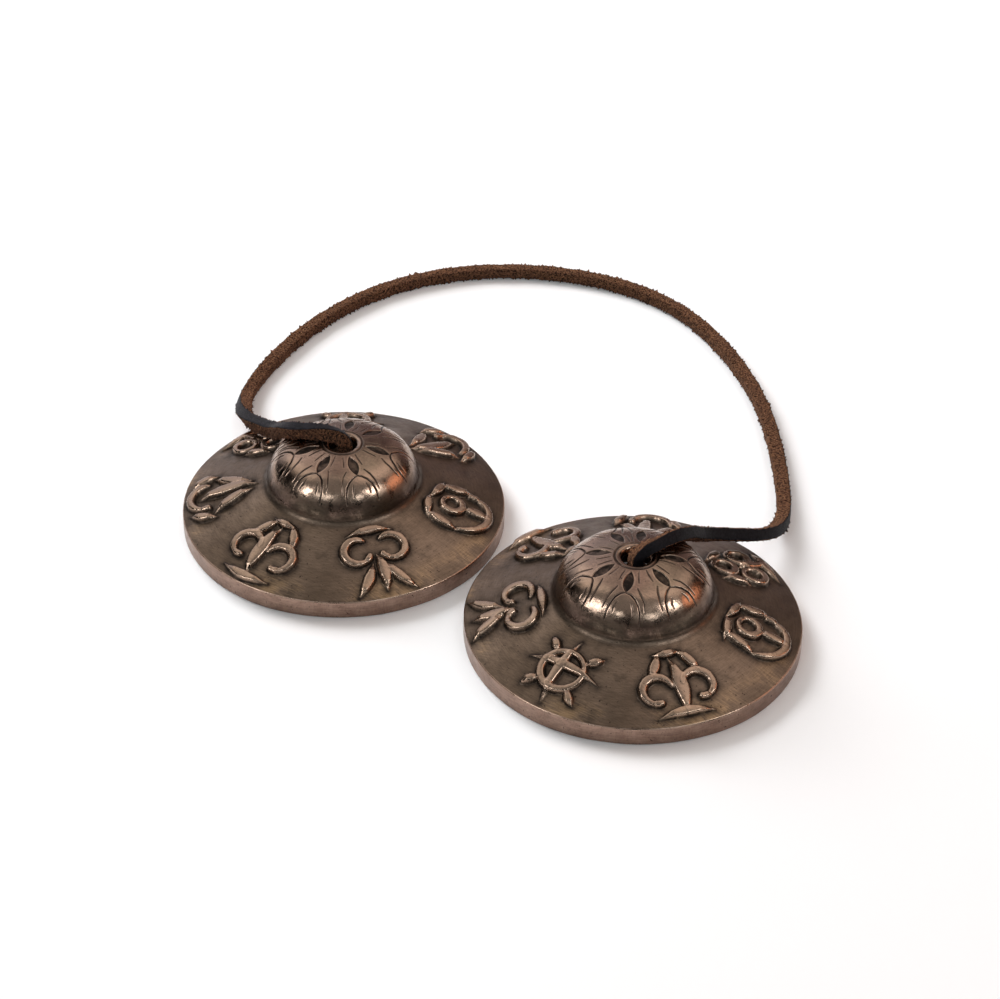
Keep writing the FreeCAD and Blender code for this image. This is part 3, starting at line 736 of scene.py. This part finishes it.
def engrave(side, azimuth, radius, along):
    """Shares at each place: the cut's depth, dirt, swelling between arches, rubbed lips."""
    cut = smoothstep(0.2, 0.04, np.abs(along - GROOVE))
    dirt = 0.75 * smoothstep(0.42, 0.06, np.abs(along - GROOVE))
    swell, rubbed = np.zeros(along.shape), np.zeros(along.shape)
    hand, shake = np.random.default_rng(LOTUS_SEEDS[side]), 0.06
    for middle in PETALS[side]:
        turned = (azimuth - math.radians(middle) + math.pi) % (2 * math.pi) - math.pi
        x = turned * radius
        t = np.clip((along - PETAL_START) / (PETAL_END - PETAL_START), 0, 1)
        edge = np.abs(x) - PETAL_HALF * np.sin(math.pi * t**1.15) ** 0.75
        edge = np.where((t <= 0) | (t >= 1), 1.0, edge)
        inside = smoothstep(0.05, -0.22, edge)
        lip = np.exp(-((edge - 0.17) / 0.12) ** 2)
        cut = np.maximum(cut, inside) - 0.45 * lip * (1 - inside)
        rubbed = np.maximum(rubbed, 0.8 * lip)
        seam = np.exp(-((edge + 0.1) / 0.13) ** 2)
        dirt = np.maximum(dirt * (1 - 0.7 * lip), inside * (0.93 + 0.3 * seam))
        lobe = np.exp(-(x / LOBE_REACH) ** 2 - ((along - LOBE) / LOBE_REACH) ** 2)
        swell = np.maximum(swell, lobe)
        for mirror in (-1, 1):
            grow = hand.uniform(0.88, 1.1)
            for line, weight in LOTUS_LINES:
                shaky = [
                    (mirror * px * grow + hand.normal(0, shake), py + hand.normal(0, shake))
                    for px, py in line
                ]
                at = np.linspace(0, len(LINE_HALVES) - 1, len(line))
                halves = np.interp(at, range(len(LINE_HALVES)), LINE_HALVES)
                edge, _, _ = stroke_edge(x, along, shaky, halves)
                cut = np.maximum(cut, 0.8 * weight * smoothstep(0.1, -0.1, edge))
                dirt = np.maximum(dirt, weight**0.4 * smoothstep(0.13, -0.05, edge))
                lip = weight * np.exp(-((edge - 0.2) / 0.1) ** 2)
                rubbed = np.maximum(rubbed, 0.45 * lip)
    return cut, dirt, swell, rubbed


# ---- the cast ornaments

# Each is drawn in its own small frame in millimetres: u round the cymbal, v outward.
#   ring  u, v, radius                      a closed round stroke
#   hook  u, v, radius, start, sweep        part of one, angles in degrees from u towards v
#   leaf  u, v, length, width, direction    a pointed bud, direction in degrees from u


def pair(kind, u, v, *form):
    """A stroke and its mirror image across the ornament's middle."""
    if kind == "leaf":
        length, width, direction = form
        other = (length, width, 180 - direction)
    elif kind == "hook":
        radius, start, sweep = form
        other = (radius, 180 - start, -sweep)
    else:
        other = form
    return [(kind, u, v, *form), (kind, -u, v, *other)]


BUD = [
    ("leaf", 0, 0.6, 11.6, 2.9, 90),
    ("leaf", 0, 6.2, 10.4, 2.1, 0),
    ("leaf", 0, -6.4, 5.4, 1.7, 0),
    *pair("hook", 3.7, 0.9, 2.8, -170, 260),
    *pair("leaf", 3.2, -4, 6.2, 2, 58),
]
SCROLLS = [
    ("leaf", 0, 2.6, 8.2, 2.4, 90),
    ("leaf", 0, -6.2, 9, 1.9, 0),
    *pair("hook", 3.1, -2.4, 2.7, -125, 270),
    *pair("leaf", 3.3, 3.7, 8.2, 2.2, 56),
]
WHEEL = [
    ("ring", 0, 0, 3.9),
    ("leaf", 0, 0.3, 13.8, 2.1, 90),
    ("leaf", 0, -0.3, 14.2, 2, 0),
    *pair("leaf", 4.1, 4.1, 3.8, 1.8, 45),
    *pair("leaf", 4.1, -4.1, 3.8, 1.8, -45),
]
JEWEL = [
    ("hook", 0, 0.6, 5.4, 5, 170),
    ("ring", 0, -1.6, 2),
    ("leaf", 0, 3.2, 5.8, 2.2, 90),
    *pair("leaf", 4.9, -2.2, 7.4, 2.1, 76),
    *pair("leaf", 2.6, -5.5, 6.2, 1.9, 14),
]
TREFOIL = [
    ("ring", 0, -3.9, 2.1),
    *pair("ring", 3, 1.2, 2.1),
    ("leaf", 0, 3.1, 7.2, 2.2, 90),
    ("leaf", 0, 6.2, 10.4, 2, 0),
    *pair("leaf", 4.3, -3.6, 5.8, 2, 62),
]
SPRAY = [
    ("leaf", 0, -1, 12, 2.7, 90),
    ("hook", 0, 2.6, 4, 5, 170),
    *pair("leaf", 3.3, -2.2, 9, 2.2, 62),
    *pair("leaf", 5.2, 3.8, 6, 2, 112),
]

# Where each ornament's middle stands, in degrees round the hole from +X, a little unevenly.
ORNAMENTS = {
    "left": [
        (-94, BUD), (-39, SCROLLS), (18, JEWEL), (73, SPRAY),
        (123, WHEEL), (169, TREFOIL), (-144, SPRAY),
    ],
    "right": [
        (-143, SCROLLS), (-93, WHEEL), (-41, BUD), (13, JEWEL),
        (61, TREFOIL), (113, SPRAY), (162, BUD),
    ],
}
RELIEF_INNER, RELIEF_OUTER = DOME_RADIUS + 1.6 * MM, RIM_RADIUS - 1.0 * MM
RELIEF_MIDDLE = (RELIEF_INNER + RELIEF_OUTER) / 2
DRAWN_BAND = 14.6  # how tall the ornaments are drawn
RELIEF_SCALE = (RELIEF_OUTER - RELIEF_INNER) / math.cos(SLOPE) / DRAWN_BAND
RELIEF_HEIGHT = 1.1 * MM
RELIEF_SEEDS = {"left": 21, "right": 22}
STROKE_HALF = 0.86
ORNAMENT_REACH = 10.5  # no ornament spreads further from its middle
GRIME_REACH, GRIME_END = 0.75, 3.0  # how the dirt beside a stroke fades, and where it is even


def stroke_line(stroke, hand):
    """The middle line of a stroke and its half widths, a little uneven as if cut by hand."""
    kind, u, v = stroke[:3]
    if kind == "leaf":
        length, width, direction = stroke[3:]
        share = np.linspace(-1, 1, 13)
        bow = 0.06 * length * (1 - share**2) * hand.choice([-1, 1])
        way = math.radians(direction)
        x = u + share * length / 2 * math.cos(way) - bow * math.sin(way)
        y = v + share * length / 2 * math.sin(way) + bow * math.cos(way)
        halves = width / 2 * np.maximum(1 - np.abs(share) ** 1.8, 0.1)
    else:
        radius = stroke[3]
        start, sweep = stroke[4:] if kind == "hook" else (0, 360)
        share = np.linspace(0, 1, 33)
        angle = np.radians(start + share * sweep)
        curl = 1 - 0.16 * share**3 if kind == "hook" else 1.0
        x, y = u + radius * curl * np.cos(angle), v + radius * curl * np.sin(angle)
        if kind == "hook":
            halves = STROKE_HALF * (0.45 + 0.6 * np.sin(math.pi * share**0.8) ** 0.7)
            halves[-4:] = STROKE_HALF * 0.85
        else:
            halves = STROKE_HALF * (0.86 + 0.16 * np.cos(angle - 0.9))
    halves = halves * (1 + 0.025 * hand.standard_normal(len(halves)))
    return list(zip(x, y)), halves


def cast_relief(side, skin, slope_rows):
    """Height of the ornaments over the flange, how polished they are with a painted highlight
    along their bevels, and how dirty its face is.
    """
    shape = skin.shape[:2]
    height, polish, dirt = np.zeros(shape), np.zeros(shape), np.zeros(shape)
    hand = np.random.default_rng(RELIEF_SEEDS[side])
    for around, ornament in ORNAMENTS[side]:
        outward = np.array([math.cos(math.radians(around)), math.sin(math.radians(around)), 0.0])
        sideways = np.array([outward[1], -outward[0], 0.0])
        down = outward * math.cos(SLOPE) - np.array([0, 0, math.sin(SLOPE)])
        middle = outward * RELIEF_MIDDLE
        middle[2] = RIM_EDGE + (RIM_RADIUS - RELIEF_MIDDLE) * math.tan(SLOPE)
        from_middle = (skin - middle) / RELIEF_SCALE
        u, v = from_middle @ sideways, from_middle @ down
        close = (np.hypot(u, v) < ORNAMENT_REACH) & slope_rows[:, None]
        un, vn = u[close], v[close]
        best, nearest_edge = np.zeros(un.shape), np.full(un.shape, GRIME_END)
        shine, covered = np.zeros(un.shape), np.zeros(un.shape)
        for stroke in ornament:
            points, halves = stroke_line(stroke, hand)
            edge, share, half = stroke_edge(un, vn, points, halves)
            crown = 0.84 + 0.16 * np.clip(1 - share**2, 0, 1)
            rise = smoothstep(0.2, -0.34, edge) * crown * np.clip(half / 0.8, 0.4, 1.0)
            best = np.maximum(best, rise) + 0.08 * np.minimum(best, rise)
            inside = smoothstep(0.04, -0.26, edge)
            # A painted highlight: a brighter band along the bevel just inside each stroke's edge,
            # added to its polish.
            shoulder = 0.45 * np.exp(-((edge + 0.22) / 0.13) ** 2)
            shine = np.maximum(shine, inside * (0.55 + shoulder))
            covered = np.maximum(covered, inside)
            nearest_edge = np.minimum(nearest_edge, edge)
        height[close] = np.maximum(height[close], best * RELIEF_HEIGHT)
        polish[close] = np.maximum(polish[close], shine)
        grime = np.exp(-np.maximum(nearest_edge, 0) / GRIME_REACH) * (1 - covered)
        dirt[close] = np.maximum(dirt[close], grime)
    return height, polish, dirt


# ---- bronze

FLANGE_DARK, FLANGE_PALE = (0.118, 0.083, 0.059), (0.19, 0.136, 0.099)
FLANGE_DIRTY = (0.07, 0.052, 0.039)
WORN_GOLD = (0.36, 0.24, 0.135)
DOME_BROWN, DOME_OLIVE = (0.2, 0.132, 0.102), (0.18, 0.136, 0.098)
RIM_BROWN, RIM_PALE = (0.255, 0.165, 0.126), (0.345, 0.232, 0.18)
UNDER_BROWN = (0.2, 0.14, 0.1)
STROKE_BRIGHT = (0.43, 0.3, 0.22)
DARK_DIRT_AND_SHADE = (0.02, 0.015, 0.0125)
# Noise features to the metre.
CLOUDS, PATCHES, GRIME, PITS, SPECKS = 62, 190, 520, 1350, 2900
TURNED_MARKS, TURNED_BREAKS = 3300.0, 11.0  # rings to the metre, and how often they break
BRUSH_MARKS = (380.0, 4300.0, 900.0)
WORN_BAND = (0.0262, 0.0316)  # radii between which the flange gets rubbed golden
ROUGH_FLANGE, ROUGH_DOME, ROUGH_STROKE, ROUGH_DIRT_AND_SHADE = 0.36, 0.17, 0.21, 0.55


def make_bronze(side):
    """Antique bronze: olive flange, rubbed strokes, dark dirt in grooves and beside strokes; a
    painted highlight on the rim's top edge and painted shade round the dome's foot.
    """
    bronze = Shader("antique_bronze_" + side)
    mix, fit, maths = bronze.mix, bronze.fit, bronze.maths
    place = bronze.add("TexCoord").outputs["Object"]
    middle = HOLE_LEFT if side == "left" else HOLE_RIGHT
    local = bronze.vector("SUBTRACT", place, tuple(middle))
    flat = bronze.vector("MULTIPLY", local, (1.0, 1.0, 0.0))
    radius = bronze.vector("LENGTH", flat, output="Value")
    across = bronze.add("SeparateXYZ", {0: bronze.vector("NORMALIZE", flat)}).outputs
    upright = bronze.add("SeparateXYZ", {0: local}).outputs["Z"]
    round_place = bronze.add("CombineXYZ", {
        "X": maths("MULTIPLY", maths("SUBTRACT", radius, upright), TURNED_MARKS),
        "Y": maths("MULTIPLY", across["X"], TURNED_BREAKS),
        "Z": maths("MULTIPLY", across["Y"], TURNED_BREAKS),
    }).outputs[0]
    turned = bronze.noise(round_place, 1.0, 4.0, 0.6)
    brushed = bronze.noise(bronze.vector("MULTIPLY", local, BRUSH_MARKS), 1.0, 3.0, 0.6)
    cloud = bronze.noise(local, CLOUDS, 3.0)
    patch = bronze.noise(local, PATCHES, 4.0, 0.6)
    grime = bronze.noise(local, GRIME, 4.0, 0.65)
    pits = bronze.noise(local, PITS, 2.0, 0.5)
    specks = bronze.noise(local, SPECKS, 2.0, 0.5)
    polish, dirt = bronze.attribute("polish"), bronze.attribute("dirt")
    dome, rim, under = (bronze.attribute(name) for name in ("dome", "rim", "under"))

    flange = mix(fit(cloud, 0.36, 0.66), FLANGE_DARK, FLANGE_PALE)
    flange = mix(fit(patch, 0.54, 0.7, 0.0, 0.55), flange, FLANGE_DIRTY)
    brushed_cloud = maths("ADD", cloud, maths("MULTIPLY", brushed, 0.3))
    worn = maths("MULTIPLY", fit(radius, *WORN_BAND), fit(brushed_cloud, 0.66, 0.84))
    flange = mix(maths("MULTIPLY", worn, 0.8), flange, WORN_GOLD)
    skin = mix(dome, flange, mix(fit(cloud, 0.4, 0.62), DOME_BROWN, DOME_OLIVE))
    skin = mix(rim, skin, mix(fit(patch, 0.35, 0.65), RIM_BROWN, RIM_PALE))
    skin = mix(under, skin, UNDER_BROWN)
    tone = maths("ADD", fit(turned, 0.28, 0.72, 0.8, 1.1), fit(brushed, 0.3, 0.7, -0.08, 0.1))
    grey = bronze.add("CombineColor", {0: tone, 1: tone, 2: tone}).outputs[0]
    skin = mix(1.0, skin, grey, "MULTIPLY")
    # The bright colour marks rubbed polish on strokes, ring and dome, plus painted highlights on
    # stroke bevels and the rim's top edge.
    skin = mix(polish, skin, STROKE_BRIGHT)
    skin = mix(fit(specks, 0.6, 0.74, 0.0, 0.55), skin, FLANGE_DIRTY)
    skin = mix(fit(pits, 0.67, 0.75, 0.0, 0.8), skin, DARK_DIRT_AND_SHADE)
    # The dark share: real dirt and patina in grooves and beside strokes, painted shade round the
    # dome's foot, and the darker lower dome and hollow.
    dirt_share = maths("MULTIPLY", dirt, fit(grime, 0.28, 0.62, 0.55, 1.1), clamp=True)
    skin = mix(dirt_share, skin, DARK_DIRT_AND_SHADE)

    rough, shares = ROUGH_FLANGE, (dome, rim, polish, dirt_share)
    for share, value in zip(shares, (ROUGH_DOME, ROUGH_FLANGE, ROUGH_STROKE, ROUGH_DIRT_AND_SHADE)):
        rough = bronze.mix_value(share, rough, value)
    rough = maths("ADD", rough, fit(grime, 0.3, 0.7, -0.05, 0.08))

    scratch = maths("ADD", maths("MULTIPLY", turned, 0.5), maths("MULTIPLY", brushed, 0.5))
    plain = maths("SUBTRACT", 1.0, maths("MULTIPLY", polish, 0.8))
    normal = bronze.bump(maths("MULTIPLY", scratch, plain), 0.3, 0.05 * MM)
    pocked = maths("ADD", grime, maths("MULTIPLY", pits, -0.8))
    normal = bronze.bump(pocked, 0.25, 0.14 * MM, normal)
    return bronze.dress({
        "Base Color": skin, "Metallic": 1.0, "Roughness": rough, "Normal": normal,
    })


# ---- the cymbals

UNEVEN_SCALE, UNEVEN_HEIGHT = 160, 0.07 * MM  # slow dents of the casting, features to the metre
UNEVEN_SEEDS = {"left": 5, "right": 6}
UNEVEN_STRIDE = 8  # they are read at every eighth column
RIM_SWAY = 0.06 * MM  # how far the rim is off round
# Shares of the bright polished colour; the crease share is a painted highlight along the rim's top
# edge.
RING_POLISH, CREASE_HIGHLIGHT, HANDLED_POLISH, LIP_POLISH = 0.25, 0.5, 0.62, 0.55
# Shares of the dark colour: darker towards the dome's foot, painted shade round the foot, and the
# dark hollow under the dome.
LOW_DOME_DARK, FOOT_SHADE, HOLLOW_DARK = 0.56, 0.38, 1.0
# Along the dome in millimetres: where hands polish its shoulder, and where it grows darker towards
# its foot.
HANDLED_UP, HANDLED_DOWN, LOW_DOME_DARK_FROM = (8.5, 11.5), (17.8, 14.6), (13.6, 17.8)
FOOT_LINE, FOOT_BLUR = 15.6, 0.9  # millimetres from the axis, where painted shade lies round the dome's foot
DARK_HOLLOW_REACH = 12.0 * MM  # the hollow of the dome is coloured dark out to this radius


def along_dome(radius):
    """Millimetres along the dome's section, from the crown out to each radius."""
    cap_turn = math.pi / 2 - CAP_END
    turned = np.arcsin(np.clip((radius - SHOULDER_MIDDLE[0]) / SHOULDER, 0, 1))
    cap = BALL * np.arcsin(np.clip(radius / BALL, 0, 1))
    return np.where(turned > cap_turn, BALL * cap_turn + SHOULDER * (turned - cap_turn), cap) / MM


def dents(side, skin):
    """Slow noise from about -1 to 1 over the bell, evened out between the columns read."""
    read = noise_at(skin[:, ::UNEVEN_STRIDE], UNEVEN_SCALE, UNEVEN_SEEDS[side])
    spread = np.repeat(read, UNEVEN_STRIDE, axis=1)
    spread = (spread + np.roll(spread, 1, axis=1)) / 2
    edge = UNEVEN_STRIDE
    wide = np.concatenate([spread[:, -edge:], spread, spread[:, :edge]], axis=1)
    kernel = np.ones(edge + 1) / (edge + 1)
    return np.stack([np.convolve(line, kernel, mode="same")[edge:-edge] for line in wide])


def make_bell(side, hole):
    section, names = bell_section()
    ahead, behind = np.roll(section, -1, axis=0), np.roll(section, 1, axis=0)
    tangent = unit(ahead - behind)
    normal = np.stack([-tangent[:, 1], tangent[:, 0]], axis=1)
    angle = np.linspace(0, 2 * math.pi, COLUMNS, endpoint=False)
    cos, sin = np.cos(angle), np.sin(angle)

    def swept(rows):
        upright = np.repeat(rows[:, 1:2], COLUMNS, axis=1)
        return np.stack([rows[:, 0:1] * cos, rows[:, 0:1] * sin, upright], axis=2)

    skin, outward = swept(section), swept(normal)
    on = {name: names == name for name in ("ring", "dome", "cove", "flange", "rim", "under")}
    lift, polish, dirt = cast_relief(side, skin, on["flange"] | on["cove"])

    radius = section[:, 0][:, None]
    along = along_dome(radius)
    rows = on["dome"] | on["ring"]
    azimuth = np.repeat(angle[None, :], len(section), axis=0)
    drawn = (np.repeat(values[rows], COLUMNS, axis=1) for values in (radius / MM, along))
    cut, soot, swell, rubbed = engrave(side, azimuth[rows], *drawn)
    cut[names[rows] == "ring"] = 0.0
    soot[names[rows] == "ring"] *= 0.3
    lift[rows] += swell * LOBE_SWELL - cut * ENGRAVED_DEPTH
    handled = smoothstep(*HANDLED_UP, along[rows]) * smoothstep(*HANDLED_DOWN, along[rows])
    shine = np.maximum(HANDLED_POLISH * handled, LIP_POLISH * rubbed)
    polish[rows] = np.maximum(polish[rows], shine * (1 - soot))
    # The dome is coloured darker towards its foot.
    darker_low = LOW_DOME_DARK * smoothstep(*LOW_DOME_DARK_FROM, along[rows]) * np.ones((1, COLUMNS))
    dirt[rows] = np.maximum(dirt[rows], np.maximum(soot, darker_low))

    # Painted shade in the cove round the dome's foot.
    near_foot = (on["dome"] | on["cove"] | on["flange"])[:, None]
    foot = np.exp(-((radius / MM - FOOT_LINE) / FOOT_BLUR) ** 2) * near_foot
    dirt = np.maximum(dirt, FOOT_SHADE * foot)
    lift = lift + dents(side, skin) * UNEVEN_HEIGHT * (~on["under"])[:, None]
    lift[on["rim"]] += RIM_SWAY * np.sin(3 * angle + 0.6)
    polish[on["ring"]] = RING_POLISH
    dirt[on["under"] & (section[:, 0] < DARK_HOLLOW_REACH)] = HOLLOW_DARK
    # A painted highlight: the top of the rim's rounded edge gets the bright polished colour as a
    # line.
    painted_crease = on["rim"] & (section[:, 1] > RIM_EDGE - 0.8 * RIM_ROUNDING)
    polish[painted_crease] = CREASE_HIGHLIGHT

    points = skin + outward * lift[..., None] + np.array(hole)
    zones = {"dome": on["dome"] | on["ring"], "rim": on["rim"], "under": on["under"]}
    flags = {name: np.repeat(zone[:, None] * 1.0, COLUMNS, axis=1) for name, zone in zones.items()}
    flags.update(polish=polish, dirt=dirt)
    bell = grid_mesh("cymbal_bell_" + side, points, True, make_bronze(side), flags)
    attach(bell, "cymbal_" + side)
    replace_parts(bell, "cymbal_" + side)


make_bell("left", HOLE_LEFT)
make_bell("right", HOLE_RIGHT)

# ---- floor and light

FLOOR_HALF = 2.0
FLOOR_WHITE = (0.92, 0.92, 0.92)
FLOOR_GLOW = 0.07  # a little light of its own, seen by the camera and in the bronze only
WORLD_TOP = 0.43
WORLD_TOP_FROM, WORLD_TOP_TO = 0.45, 0.95  # how far up the light overhead starts and is full
# Soft lights in the room: direction, how near to it the light starts, how strong, colour.
WORLD_GLOWS = [
    ((-0.61, 0.2, 0.77), 0.9, 1.05, (1.0, 0.95, 0.88)),
    ((-0.53, 0.84, 0.09), 0.6, 0.35, (1.0, 0.75, 0.75)),
    ((-0.76, 0.49, 0.42), 0.86, 0.9, (0.88, 0.92, 1.0)),
    ((0.06, 0.55, 0.83), 0.86, 1.1, (1.0, 0.86, 0.78)),
    ((0.69, 0.58, 0.43), 0.945, 2.2, (1.0, 0.5, 0.32)),
    ((0.05, -0.77, 0.64), 0.988, 6.0, (0.88, 0.96, 1.0)),
    ((0.68, -0.42, 0.6), 0.988, 6.0, (0.88, 0.96, 1.0)),
]
# Azimuth, elevation, distance, width, height, watts, colour, and what the lamp doesn't light:
# the strips draw the highlights on the bronze, the key lights the leather and the floor.
SOFTBOXES = {
    "strip_left": (-124, 37, 1.3, 0.36, 0.58, 5.6, (0.94, 0.97, 1), "diffuse"),
    "strip_right": (5.5, 44, 1.3, 0.32, 0.5, 4.3, (0.94, 0.97, 1), "diffuse"),
    "key": (165, 32, 1.6, 0.9, 0.9, 30, (0.97, 0.98, 1), "glossy"),
}


def make_floor():
    paper = Shader("paper_floor")
    paper.dress({"Base Color": FLOOR_WHITE, "Roughness": 0.9, "Specular IOR Level": 0.1})
    path = paper.add("LightPath").outputs
    seen = paper.maths("MAXIMUM", path["Is Camera Ray"], path["Is Glossy Ray"])
    seen = paper.maths("MAXIMUM", seen, path["Is Transmission Ray"])
    glow = paper.add("Emission", {"Strength": paper.maths("MULTIPLY", seen, FLOOR_GLOW)})
    both = paper.add("AddShader", {0: paper.surface.outputs[0], 1: glow.outputs[0]})
    paper.fill(paper.tree.nodes["Material Output"], {"Surface": both.outputs[0]})
    mesh = bpy.data.meshes.new("floor")
    turns = ((-1, -1), (1, -1), (1, 1), (-1, 1))
    mesh.from_pydata([(FLOOR_HALF * x, FLOOR_HALF * y, 0) for x, y in turns], [], [range(4)])
    mesh.materials.append(paper.material)
    floor = add_object("floor", mesh)


def make_world():
    """A dim room, lighter overhead, with soft lights in it; the camera itself sees it pale."""
    world = bpy.data.worlds.new("studio")
    world.use_nodes = True
    bpy.context.scene.world = world
    room = Nodes(world.node_tree)
    room.tree.nodes.clear()
    place = room.add("TexCoord").outputs["Generated"]
    upward = room.add("SeparateXYZ", {0: place}).outputs["Z"]
    overhead = room.fit(upward, WORLD_TOP_FROM, WORLD_TOP_TO, 0.0, WORLD_TOP)
    light = room.add("Background", {"Strength": overhead}).outputs[0]
    for direction, start, strength, colour in WORLD_GLOWS:
        ahead = Vector(direction).normalized()
        toward = room.vector("DOT_PRODUCT", place, ahead, output="Value")
        glow = room.fit(toward, start, 1.0, 0.0, strength)
        glow = room.add("Background", {"Color": colour, "Strength": glow}).outputs[0]
        light = room.add("AddShader", {0: light, 1: glow}).outputs[0]
    seen = room.add("LightPath").outputs["Is Camera Ray"]
    pale = room.add("Background").outputs[0]
    both = room.add("MixShader", {0: seen, 1: light, 2: pale}).outputs[0]
    room.add("OutputWorld", {0: both})


def softbox(name, azimuth, elevation, distance, width, height, power, colour, spared):
    """A lamp that looks at the pair's middle."""
    data = bpy.data.lights.new(name, "AREA")
    data.shape, data.size, data.size_y = "RECTANGLE", width, height
    data.energy, data.color = power, colour
    lamp = add_object(name, data)
    way = way_to(azimuth, elevation)
    lamp.location = way * distance
    lamp.rotation_euler = way.to_track_quat("Z", "Y").to_euler()
    setattr(lamp, "visible_" + spared, False)


make_floor()
make_world()
for lamp_name, lamp_form in SOFTBOXES.items():
    softbox(lamp_name, *lamp_form)
